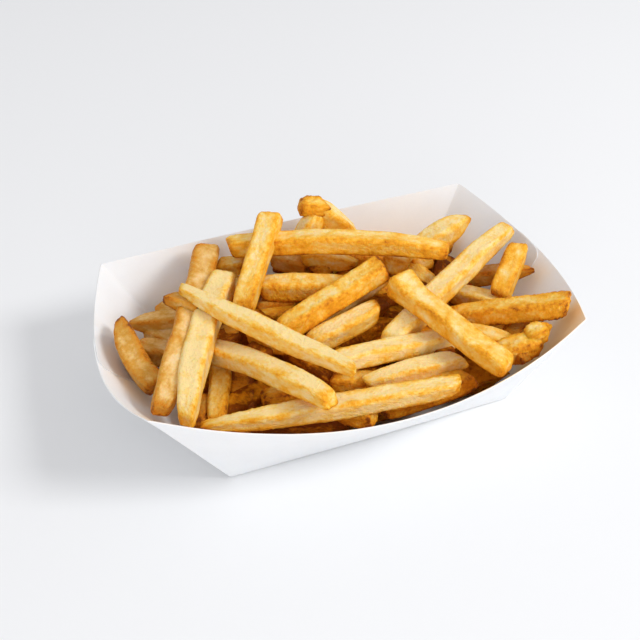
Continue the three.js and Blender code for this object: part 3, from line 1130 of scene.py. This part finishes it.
@dataclass
class FryMaker:
    """Makes fries as bent, uneven copies of a few blanks, and joins each kind into one piece.

    blunt is the share of the section left on the end faces, oblique how far a cut end slants, and waves gives
    the length of each wave along a fry and its share of the swing. The higher a power is, the nearer to the
    ends a taper, a flare or a slant begins. The tone's difference between top and underside is painted light
    and shade, paler on top and darker underneath as light falls from above; the two spreads say how much the
    tone differs between fries and between their sides.
    """

    seed: int = 7
    section_gap: float = 0.0042
    least_sections: int = 5
    taper_power: float = 2.2
    flare_power: float = 4.5
    oblique_power: float = 6.0
    blunt: tuple[float, float] = (0.74, 0.95)
    unevenness: float = 0.02
    wobble: float = 0.0002
    twist: float = 5.0
    oblique: float = 0.0019
    waves: tuple[tuple[float, float], ...] = ((0.034, 0.65), (0.017, 0.35))
    painted_top_light: float = 0.20
    tone_spread: float = 0.12
    side_spread: float = 0.1
    lump_size: float = 0.0075
    blister_size: float = 0.0026
    crumb_size: float = 0.0014
    lengths: tuple[float, ...] = (0.013, 0.018, 0.025, 0.034, 0.046, 0.062, 0.084)
    blanks: dict[tuple[float, Relief], bpy.types.Object] = field(default_factory=dict, init=False)

    def __post_init__(self) -> None:
        """Starts the random numbers and makes the empty cage that bends the sticks."""
        self.chance = seeded_numbers(self.seed)
        cage = bpy.data.lattices.new("cage")
        self.cage = bpy.data.objects.new("cage", cage)
        bpy.context.collection.objects.link(self.cage)

    def around(self, spread: float) -> float:
        """A random number between minus and plus the spread."""
        return spread * (2 * next(self.chance) - 1)

    def blank_for(self, fry: Fry, relief: Relief) -> bpy.types.Object:
        """The blank nearest to a fry's length, made when it is first needed.

        Args:
            fry: the fry to be made.
            relief: its kind's relief.

        Returns:
            The blank.
        """
        length = min(self.lengths, key=lambda option: abs(math.log(option / fry.length)))
        if (length, relief) not in self.blanks:
            self.blanks[length, relief] = FryBlank(length, relief).build()
        return self.blanks[length, relief]

    def wave(self, spread: float, length: float) -> Callable[[float], float]:
        """A gentle random wave along a fry.

        Args:
            spread: how far it swings each way.
            length: the fry's length.

        Returns:
            The wave's value for a share of the length.
        """
        parts = [(length / reach, next(self.chance), spread * strength) for reach, strength in self.waves]

        def value(share: float) -> float:
            """The wave's height at a share of the fry's length."""
            return sum(height * math.sin(2 * math.pi * (turns * share + start))
                       for turns, start, height in parts)

        return value

    def shape_cage(self, fry: Fry, size: Vector) -> None:
        """Bends, tapers, twists and waves the cage round a stick of the fry's size.

        Args:
            fry: the fry to be made.
            size: the stick's length, width and height.
        """
        sections = max(self.least_sections, round(size.x / self.section_gap))
        cage = self.cage.data
        cage.points_u, cage.points_v, cage.points_w = sections, 2, 2
        cage.interpolation_type_u = "KEY_BSPLINE"
        cage.interpolation_type_v = cage.interpolation_type_w = "KEY_LINEAR"
        self.cage.scale = size
        aside, above = self.wave(self.wobble, size.x), self.wave(self.wobble, size.x)
        wide, high = self.wave(self.unevenness, size.x), self.wave(self.unevenness, size.x)
        turned = self.wave(math.radians(self.twist), size.x)
        slants = [(self.around(self.oblique), self.around(self.oblique)) for _ in range(2)]
        bluntest, sharpest = self.blunt
        blunts = [bluntest + (sharpest - bluntest) * next(self.chance) for _ in range(2)]
        for number, point in enumerate(cage.points):
            ring = number % sections
            share = ring / (sections - 1)
            later = int(share > 0.5)
            swell = 4 * share * (1 - share)
            nearness = abs(2 * share - 1)
            power = self.flare_power if fry.ends[later] > 1 else self.taper_power
            scale = 1 + (fry.ends[later] - 1) * nearness**power
            if ring in (0, sections - 1):
                scale *= blunts[later]
            y = point.co.y * size.y * scale * (1 + wide(share))
            z = point.co.z * size.z * scale * (1 + high(share))
            turn = turned(share)
            slant = slants[later]
            lean = nearness**self.oblique_power * (slant[0] * 2 * point.co.y + slant[1] * 2 * point.co.z)
            point.co_deform = (
                point.co.x + lean / size.x,
                (MM * fry.bow[0] * swell + aside(share) + y * math.cos(turn) - z * math.sin(turn)) / size.y,
                (MM * fry.bow[1] * swell + above(share) + y * math.sin(turn) + z * math.cos(turn)) / size.z,
            )

    def make(self, fry: Fry, relief: Relief) -> bpy.types.Object:
        """Makes one fry at its place.

        Args:
            fry: what to make.
            relief: its kind's relief.

        Returns:
            The fry's own object.
        """
        blank = self.blank_for(fry, relief)
        stick = blank.copy()
        stick.data = blank.data.copy()
        bpy.context.collection.objects.link(stick)
        size = Vector(blank.dimensions)
        stick.scale = (fry.length / size.x, fry.girth / size.y, fry.girth / size.y)
        activate(stick)
        bpy.ops.object.transform_apply(scale=True)
        self.shape_cage(fry, Vector(stick.dimensions))
        bend = stick.modifiers.new("bend", "LATTICE")
        bend.object = self.cage
        apply_modifiers(stick)

        grain = get_attribute(stick, "grain")
        end = get_attribute(stick, "end_wear")
        at_start = grain[:, 0] < 0
        set_attribute(stick, "end_wear", end * np.where(at_start, *fry.browned))
        drift = np.array([self.around(1.0), self.around(1.0), self.around(1.0)])
        set_attribute(stick, "grain", grain + drift)
        height = grain[:, 2] / (0.5 * size.z)
        side = grain[:, 1] / (0.5 * size.y)
        # paler on top and darker underneath: painted light and shade, as light falls from above
        tone = fry.tone + self.around(self.tone_spread) - self.painted_top_light * height
        set_attribute(stick, "tone", tone + self.around(self.side_spread) * side)
        stick.data.transform(fry.placing())
        return stick

    def join(self, name: str, sticks: list[bpy.types.Object]) -> bpy.types.Object:
        """Joins fries into one piece.

        Args:
            name: the piece's name.
            sticks: the fries.

        Returns:
            The piece.
        """
        activate(sticks[0])
        for stick in sticks[1:]:
            stick.select_set(True)
        bpy.ops.object.join()
        piece = bpy.context.active_object
        piece.name = piece.data.name = name
        return piece

    def roughen(self, piece: bpy.types.Object, relief: Relief) -> None:
        """Gives a piece the lumps, blisters and crumbs of fried potato.

        Args:
            piece: the joined fries.
            relief: how deep each is.
        """
        add_relief(piece, "lumps", self.lump_size, relief.lumps, "", "IMPROVED_PERLIN", 1)
        add_relief(piece, "blisters", self.blister_size, relief.blisters, "", "BLENDER_ORIGINAL", 1)
        add_relief(piece, "crumbs", self.crumb_size, relief.crumbs, "rough", "VORONOI_F1", 1)
        apply_modifiers(piece)
        activate(piece)
        bpy.ops.object.shade_smooth()

    def clear(self) -> None:
        """Removes the blanks and the cage."""
        for helper in [*self.blanks.values(), self.cage]:
            bpy.data.objects.remove(helper)


@dataclass
class BuriedFries:
    """The rule for the fries that close the heap below the ones laid on top.

    The fries' middles lie within half_length and half_depth, at edge_height at the side and at top_height in
    the middle. least is the length below which a fry is left out, and paper the wall's sideways thickness in
    the solid model.
    """

    shape: TrayShape
    count: int = 34
    seed: int = 20
    half_length: float = 0.074
    half_depth: float = 0.042
    longest: float = 0.076
    shortest: float = 0.042
    least: float = 0.026
    width: float = 0.0105
    edge_height: float = 0.015
    top_height: float = 0.031
    tilt: float = 0.004
    clearance: float = 0.0014
    paper: float = 0.000812
    pulls: int = 20
    pull: float = 0.1
    turn: float = 30.0
    # their high tone is painted shade, darkening the fries deep in the heap where the gaps between fries fall
    # in shade
    tone: float = 1.4

    def height(self, x: float, y: float) -> float:
        """Height of a buried fry's middle."""
        reach = (x / self.half_length) ** 2 + (y / self.half_depth) ** 2
        return self.edge_height + (self.top_height - self.edge_height) * max(0.0, 1 - reach)

    def pull_clear(self, end: Vector, centre: Vector) -> Vector:
        """Pulls one end of a fry towards its middle until it is clear of the walls.

        Args:
            end: where the fry would end.
            centre: the fry's middle.

        Returns:
            Where it ends.
        """
        room = self.width / 2 + self.paper + self.clearance
        for _ in range(self.pulls):
            lowest = end - Vector((0, 0, self.width / 2))
            if self.shape.space_to_walls(lowest) > room:
                break
            end = end.lerp(centre, self.pull)
        return end

    def fries(self) -> list[Fry]:
        """Winds the fries outwards from the centre, the longest first.

        Returns:
            The buried fries.
        """
        chance = seeded_numbers(self.seed)
        golden_angle = math.pi * (3 - math.sqrt(5))
        found = []
        for number in range(self.count):
            share = (number + 0.5) / self.count
            reach = math.sqrt(share)
            x = self.half_length * reach * math.cos(number * golden_angle)
            y = self.half_depth * reach * math.sin(number * golden_angle)
            centre = Vector((x, y, self.height(x, y)))
            heading = math.pi * next(chance)
            tilt = self.tilt * (2 * next(chance) - 1)
            half = (self.longest + (self.shortest - self.longest) * share) / 2
            ray = Vector((math.cos(heading) * half, math.sin(heading) * half, tilt))
            start, finish = self.pull_clear(centre - ray, centre), self.pull_clear(centre + ray, centre)
            turn = self.turn * next(chance)
            if (finish - start).length < self.least:
                continue
            ends = [tuple(end / MM) for end in (start, finish)]
            found.append(Fry(*ends, self.width / MM, FryKind.BURIED, turn, tone=self.tone))
        return found


PALE, GOLDEN, BROWNED, CRUMBLY, KNOBBLY, BURIED = FryKind

# Fries that lie low between the others and have tones of 1.1 and more are darkened as painted shade for the
# gaps.
LAID_FRIES = (
    # the long ones on top
    Fry((-61.3, 17.4, 52.4), (-11.8, -56.6, 50.4), 8.2, GOLDEN, 0, (0, -1), (.5, .6), (.6, .5), .12),
    Fry((-33, 41.5, 50), (54.5, .5, 51), 9.5, GOLDEN, 0, (0, 4), (.95, .75), (.6, .4), .62),
    Fry((-41, 50.5, 45), (-84.6, -38, 39), 11.6, BROWNED, -16, (1, 0), (1, .72), (.3, .4), .4),
    Fry((-39, 28, 45), (-77, -48, 39.5), 11, PALE, 0, (-3, 0), (1.05, .6), (.3, .4), .16),
    Fry((-12, 42, 62), (-38.5, 5, 43), 9.5, PALE, ends=(1.3, .95), browned=(.2, .2), tone=.45),
    Fry((92.2, 14.9, 45.4), (12.1, -31.4, 35.4), 9.8, PALE, 0, (0, 1.5), (.75, 1), (.2, .4), .24),
    Fry((26.3, -9, 49.2), (48.4, -67, 40.2), 9.6, GOLDEN, 0, (-2, 1), (1.6, 1), (.3, .3), .45),
    Fry((24.4, .9, 50.8), (-27.2, -13.8, 42.4), 9.8, GOLDEN, ends=(1.15, 1), browned=(1, .3), tone=.5),
    Fry((27, 5, 43), (-18, -5, 36), 9.5, BROWNED, ends=(.7, .9), tone=.3),
    Fry((-70.7, -46.2, 32.8), (29.3, -64.2, 35.8), 8.8, CRUMBLY, 0, (-1, 0), (.4, .8), (.6, .4), .1),
    Fry((-55, -4, 33), (-24.5, -64.5, 46), 9.2, GOLDEN, 0, (0, 2.5), (1, .8), (.4, .5), .3),
    Fry((43.8, -17.1, 30), (87, -46.5, 45.9), 9.6, CRUMBLY, ends=(.8, 1.05), browned=(.3, .2), tone=.6),

    # along the back and the right hand end
    Fry((1.5, 45, 61), (14.5, 40.5, 60), 8.6, KNOBBLY, ends=(1.15, .6), browned=(.4, .5), tone=.8),
    Fry((9, 43, 59.5), (24.5, 40.5, 42), 11, GOLDEN, ends=(.95, .95), browned=(.6, .1), tone=.4),
    Fry((7.8, 38.6, 58.5), (0, 39, 46), 10, GOLDEN, ends=(.6, 1), browned=(.2, .4), tone=.4),
    Fry((-12, 46, 33), (34, 37, 33), 10, BROWNED, tone=.7),
    Fry((20, 44, 25), (76, 37, 27), 10.5, GOLDEN, tone=.5),
    Fry((-69, 39, 24), (-22, 44, 25), 10.5, BROWNED, tone=.5),
    Fry((34, 29, 29), (70, 33, 31), 10, GOLDEN, tone=.5),
    Fry((77, 26, 48), (49, 19, 41), 11, PALE, ends=(.25, .9), browned=(.6, .3), tone=.4),
    Fry((89.5, .5, 43), (70.2, -18.2, 34), 9.3, GOLDEN, ends=(1.1, 1), browned=(.3, .3), tone=.8),
    Fry((64, 7.5, 28), (92, -8.5, 37), 8, BROWNED, ends=(1, .4), browned=(.4, .7), tone=.5),
    Fry((56.3, .1, 28), (70.6, -18.8, 31), 9, PALE, tone=.4),
    Fry((52.9, -49.4, 31), (72.6, -51.6, 34.8), 10.6, KNOBBLY, ends=(1, .8), browned=(.2, .4), tone=.55),
    Fry((66, -50, 36), (77.5, -49, 39), 8.5, KNOBBLY, ends=(1, .4), browned=(.3, .5), tone=.6),
    Fry((60, -38, 24.5), (62, -57.5, 33.5), 7.5, BROWNED, ends=(1, .8), browned=(.3, .4), tone=.5),
    Fry((46.9, -31.5, 31), (63, -43.9, 30), 9.5, GOLDEN, tone=.4),

    # the left hand end
    Fry((-87.7, 22.2, 39.2), (-81.6, -16.8, 32), 10.2, BROWNED, 10, (-2, 0), (.5, .95), (.9, 0), .75),
    Fry((-83, 29.5, 30.8), (-58, 21.5, 31.2), 8.8, BROWNED, ends=(.3, 1), tone=.4),
    Fry((-69, 28, 26), (-56, 26.5, 26), 8, GOLDEN, tone=.6),
    Fry((-67, 19, 48), (-55.5, 8.5, 46.5), 7, BROWNED, ends=(.7, 1), browned=(1, .5), tone=.5),
    Fry((-76, 29, 26), (-63, 8, 26), 10, BROWNED, browned=(.6, .6), tone=.4),
    Fry((-84.5, 12, 31), (-62, 4, 25), 10, BROWNED, tone=.5),

    # the middle
    Fry((-27, 20, 41), (10.5, 6.5, 40), 10.5, GOLDEN, tone=.4),
    Fry((15.9, -12, 39.1), (-18.6, -21, 37.1), 9.5, PALE, browned=(.8, .2), tone=.35),
    Fry((24, -3, 34), (10, -8, 32), 8, BROWNED, tone=1.3),
    Fry((-15, -37, 40), (45, -34.5, 33), 8.6, GOLDEN, tone=.16),
    Fry((-4, -47, 33), (39.5, -46, 31), 9, GOLDEN, ends=(.6, .8), tone=.1),
    Fry((-15, -37.5, 30), (5.5, -45, 28), 9, GOLDEN, tone=.5),
    Fry((-.5, 35, 41), (20, 22.5, 39), 8.5, GOLDEN, ends=(1, .4), tone=.35),
    Fry((-14, 42, 39), (-.5, 34, 36), 8.5, BROWNED, browned=(.3, .8), tone=.45),
    Fry((2, 31.5, 36), (11, 27, 37), 7.5, CRUMBLY, browned=(1, 1), tone=.7),
    Fry((9.5, 28, 35), (16, 26.5, 36), 6.5, PALE, browned=(.1, .1), tone=.4),
    Fry((14, 36.5, 36), (35, 27.5, 33.5), 9, GOLDEN, tone=.9),
    Fry((32, 18, 42), (40.5, 11, 40), 10, PALE, browned=(.3, 0), tone=.4),
    Fry((43, 16.5, 38), (54.5, 18, 36), 9, PALE, tone=.4),
    Fry((40.5, 15.5, 36), (49.5, 1, 30), 10, GOLDEN, tone=.6),
    Fry((9, 8, 34), (34, 5, 34), 9.5, GOLDEN, tone=.8),
    Fry((26, 4, 30), (14.5, -9.5, 24), 9, BROWNED, tone=1.4),
    Fry((-29, 18, 33), (-5, 14, 31), 9, BROWNED, tone=.7),
    Fry((-31, 14, 30), (-11.5, 10.5, 30), 9, GOLDEN, tone=.9),
    Fry((-39.5, 42.5, 40), (-27.5, 39.5, 40), 8.5, PALE, tone=.4),
    Fry((-48, 10, 28), (-29.5, 8.5, 28), 10, BROWNED, tone=.8),
    Fry((-37.5, -1.5, 34), (-20.5, -15.5, 34), 9.5, GOLDEN, tone=.6),

    # the front, low against the long wall
    Fry((-50, 0, 26), (-63.5, -39, 26), 9, GOLDEN, tone=.6),
    Fry((-45, -6, 23), (-51, -35.5, 22), 11, BROWNED, tone=1.4),
    Fry((-64, -20.5, 25), (-71, -37, 25), 8, BROWNED, tone=.9),
    Fry((-43.5, -35.5, 28), (-21, -41, 30), 9.5, CRUMBLY, browned=(.7, .4), tone=.6),
    Fry((-2, -55, 25), (40, -54, 27), 10, GOLDEN, tone=.8),
    Fry((-16.7, -51.5, 27.4), (-6.2, -61.5, 28.4), 9.5, CRUMBLY, browned=(.3, .2), tone=.5),
    Fry((-50, -38.5, 19), (-14, -53, 21), 9, BROWNED, tone=1.3),
    Fry((66, -1, 22), (69, -39, 22), 10, GOLDEN, tone=.9),
    Fry((80, -29, 31), (66, -38, 27), 9.5, BROWNED, tone=.8),
    Fry((-23.5, -23.5, 22), (-5.5, -34, 22), 10, GOLDEN, tone=1.1),
)


@dataclass
class PackedCore:
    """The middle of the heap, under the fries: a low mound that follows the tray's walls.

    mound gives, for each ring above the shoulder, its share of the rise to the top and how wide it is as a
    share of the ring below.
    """

    finish: FriedPotato
    bottom: float = 0.003
    shoulder: float = 0.014
    top: float = 0.023
    bottom_half: tuple[float, float] = (0.056, 0.040)
    shoulder_half: tuple[float, float] = (0.064, 0.045)
    mound: tuple[tuple[float, float], ...] = ((0.55, 0.8), (0.45, 0.55))
    divisions: int = 6
    lump_size: float = 0.009
    lump_depth: float = 0.003
    # the core's dark tone and the buried fries' darkened finish are painted shade for the gaps that show it
    tone: float = 0.9

    def build(self) -> bpy.types.Object:
        """Draws a box out into a mound and roughens it.

        Returns:
            The core.
        """
        clear_selection()
        bpy.ops.mesh.primitive_cube_add(size=1, location=(0, 0, (self.bottom + self.shoulder) / 2))
        core = bpy.context.active_object
        core.name = core.data.name = "packed_core"
        core.scale = (2 * self.bottom_half[0], 2 * self.bottom_half[1], self.shoulder - self.bottom)
        bpy.ops.object.transform_apply(location=True, scale=True)
        bpy.ops.object.mode_set(mode="EDIT")
        bpy.ops.mesh.select_mode(type="FACE")
        bpy.ops.mesh.select_all(action="DESELECT")
        mesh = bmesh.from_edit_mesh(core.data)
        upward = 0.9
        for face in mesh.faces:
            face.select_set(face.normal.z > upward)
        bmesh.update_edit_mesh(core.data)
        widen = [self.shoulder_half[axis] / self.bottom_half[axis] for axis in range(2)]
        bpy.ops.transform.resize(value=(*widen, 1))
        for rise, shrink in self.mound:
            lift = rise * (self.top - self.shoulder)
            bpy.ops.mesh.extrude_region_move(TRANSFORM_OT_translate={"value": (0, 0, lift)})
            bpy.ops.transform.resize(value=(shrink, shrink, 1))
        bpy.ops.object.mode_set(mode="OBJECT")
        divided = core.modifiers.new("divided", "SUBSURF")
        divided.levels = divided.render_levels = self.divisions
        divided.subdivision_type = "SIMPLE"
        add_relief(core, "core_lumps", self.lump_size, self.lump_depth)
        apply_modifiers(core)
        places = vertex_places(core)
        set_attribute(core, "grain", places)
        for name, value in (("tone", self.tone), ("edge_wear", 0.0), ("end_wear", 0.0)):
            set_attribute(core, name, np.full(len(places), value))
        bpy.ops.object.shade_smooth()
        return core

    def dress(self, core: bpy.types.Object) -> None:
        """Gives the core its finish and its place in the frame.

        Args:
            core: the finished core.
        """
        give_finish(core, self.finish.material())
        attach(core, BODY)
        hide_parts("fries")


@dataclass
class Heap:
    """All the fries, one piece for each kind."""

    shape: TrayShape
    maker: FryMaker = field(default_factory=FryMaker)
    reliefs: dict[FryKind, Relief] = field(default_factory=lambda: {
        PALE: Relief(),
        GOLDEN: Relief(),
        BROWNED: Relief(blisters=0.0003, crumbs=0.0006),
        CRUMBLY: Relief(cell=0.0006, reach=0.006, lumps=0.0005, blisters=0.0004, crumbs=0.0013),
        KNOBBLY: Relief(
            cell=0.0006, reach=0.008, lumps=0.0018, blisters=0.0010, crumbs=0.0012, corner=0.0034),
        BURIED: Relief(cell=0.0013),
    })
    finishes: dict[FryKind, FriedPotato] = field(default_factory=lambda: {
        PALE: FriedPotato("potato_pale", depth=-0.04),
        GOLDEN: FriedPotato("potato_golden"),
        # a dimmer, greyer cream, straw and gold: partly real browning, partly painted shade for fries that
        # lie in the heap's shade
        BROWNED: FriedPotato(
            "potato_browned_and_shaded",
            depth=0.08,
            edge_browning=0.34,
            cream=(0.90, 0.65, 0.32),
            straw=(0.84, 0.52, 0.17),
            gold=(0.70, 0.35, 0.050),
        ),
        CRUMBLY: FriedPotato("potato_crumbly", edge_browning=0.44),
        KNOBBLY: FriedPotato("potato_knobbly", depth=0.02, edge_browning=0.32),
        # darker and less glossy: painted shade for the fries deep in the heap
        BURIED: FriedPotato("potato_buried", depth=0.06, gloss=0.05),
    })

    def build(self) -> dict[FryKind, bpy.types.Object]:
        """Makes every fry and joins each kind.

        Returns:
            The piece for each kind.
        """
        fries = [*LAID_FRIES, *BuriedFries(self.shape).fries()]
        pieces = {}
        for kind in FryKind:
            sticks = [self.maker.make(fry, self.reliefs[kind]) for fry in fries if fry.kind is kind]
            piece = self.maker.join(kind.value, sticks)
            self.maker.roughen(piece, self.reliefs[kind])
            pieces[kind] = piece
            LOG.info("%s: %d fries, %d faces", kind.value, len(sticks), len(piece.data.polygons))
        self.maker.clear()
        return pieces

    def dress(self, pieces: dict[FryKind, bpy.types.Object]) -> None:
        """Gives each kind its finish and its place in the frame.

        Args:
            pieces: the piece for each kind.
        """
        for kind, piece in pieces.items():
            give_finish(piece, self.finishes[kind].material())
            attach(piece, BODY)
            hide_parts("fries")


# ------------------------------------------------------------------------------------------ the studio


@dataclass
class Studio:
    """The plain pale floor, the soft lights and the camera.

    The camera looks at target from a distance, turned by azimuth from the front and lifted by elevation. Its
    focal length is in pixels of a picture that is image_pixels wide.
    """

    floor_size: float = 6.0
    floor: StudioPaper = StudioPaper()
    sky: Colour = (0.985, 0.985, 1.0)
    sky_strength: float = 0.72
    key_place: Point = (1.04, -0.84, 1.13)
    key_size: float = 0.55
    key_power: float = 14.9
    fill_place: Point = (-0.45, -1.40, 0.30)
    fill_size: float = 1.1
    fill_power: float = 5.4
    target: Point = (0.00091, 0.01956, 0.015)
    azimuth: float = -18.94
    elevation: float = 38.43
    roll: float = -2.17
    distance: float = 0.4824
    focal_pixels: float = 1057.6
    image_pixels: float = 640.0
    sensor: float = 36.0
    clip: tuple[float, float] = (0.01, 20.0)

    def build_floor(self) -> None:
        """Lays the floor."""
        clear_selection()
        bpy.ops.mesh.primitive_plane_add(size=self.floor_size)
        floor = bpy.context.active_object
        floor.name = floor.data.name = "studio_floor"
        floor.data.materials.append(self.floor.material())

    def add_light(self, name: str, place: Point, size: float, power: float) -> None:
        """Adds one round soft light that faces the tray.

        Args:
            name: the light's name.
            place: where it hangs.
            size: its width in metres.
            power: its strength in watts.
        """
        data = bpy.data.lights.new(name, "AREA")
        data.shape, data.size, data.energy = "DISK", size, power
        light = bpy.data.objects.new(name, data)
        light.location = place
        light.rotation_euler = (Vector(self.target) - light.location).to_track_quat("-Z", "Y").to_euler()
        bpy.context.collection.objects.link(light)

    def build_lights(self) -> None:
        """Sets the pale sky, the key light from the front right and a wide fill from the front left."""
        world = bpy.data.worlds.new("studio")
        world.use_nodes = True
        background = world.node_tree.nodes["Background"]
        background.inputs["Color"].default_value = (*self.sky, 1.0)
        background.inputs["Strength"].default_value = self.sky_strength
        bpy.context.scene.world = world
        self.add_light("key", self.key_place, self.key_size, self.key_power)
        self.add_light("fill", self.fill_place, self.fill_size, self.fill_power)

    def build_camera(self) -> None:
        """Puts the camera in front, above and a little to the left."""
        turn, lift, roll = (math.radians(angle) for angle in (self.azimuth, self.elevation, self.roll))
        back = Vector((math.sin(turn) * math.cos(lift), -math.cos(turn) * math.cos(lift), math.sin(lift)))
        right = Vector((0, 0, 1)).cross(back).normalized()
        up = back.cross(right)
        rolled_right = math.cos(roll) * right + math.sin(roll) * up
        rolled_up = -math.sin(roll) * right + math.cos(roll) * up
        data = bpy.data.cameras.new("camera")
        data.sensor_width = self.sensor
        data.lens = self.focal_pixels / self.image_pixels * self.sensor
        data.clip_start, data.clip_end = self.clip
        camera = bpy.data.objects.new("camera", data)
        axes = Matrix((rolled_right, rolled_up, back)).transposed()
        camera.matrix_world = Matrix.Translation(Vector(self.target) + back * self.distance) @ axes.to_4x4()
        bpy.context.collection.objects.link(camera)
        bpy.context.scene.camera = camera

    def build(self) -> None:
        """Builds the floor, the lights and the camera."""
        self.build_floor()
        self.build_lights()
        self.build_camera()
        bpy.context.scene.view_settings.view_transform = "Standard"


def main() -> None:
    """Builds the tray, the heap and the studio, and reports every piece."""
    logging.basicConfig(level=logging.INFO, format="%(name)s: %(message)s")
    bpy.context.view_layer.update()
    Studio().build()
    shape = TrayShape()
    tray = PaperTray(shape)
    paper = tray.build()
    tray.dress(paper)
    LOG.info("%s: %d faces", paper.name, len(paper.data.polygons))
    heap = Heap(shape)
    fries = heap.build()
    heap.dress(fries)
    tray.paint_fry_tint(paper, list(fries.values()))
    core = PackedCore(heap.finishes[BURIED])
    middle = core.build()
    core.dress(middle)
    LOG.info("%s: %d faces", middle.name, len(middle.data.polygons))


if __name__ == "__main__":
    main()
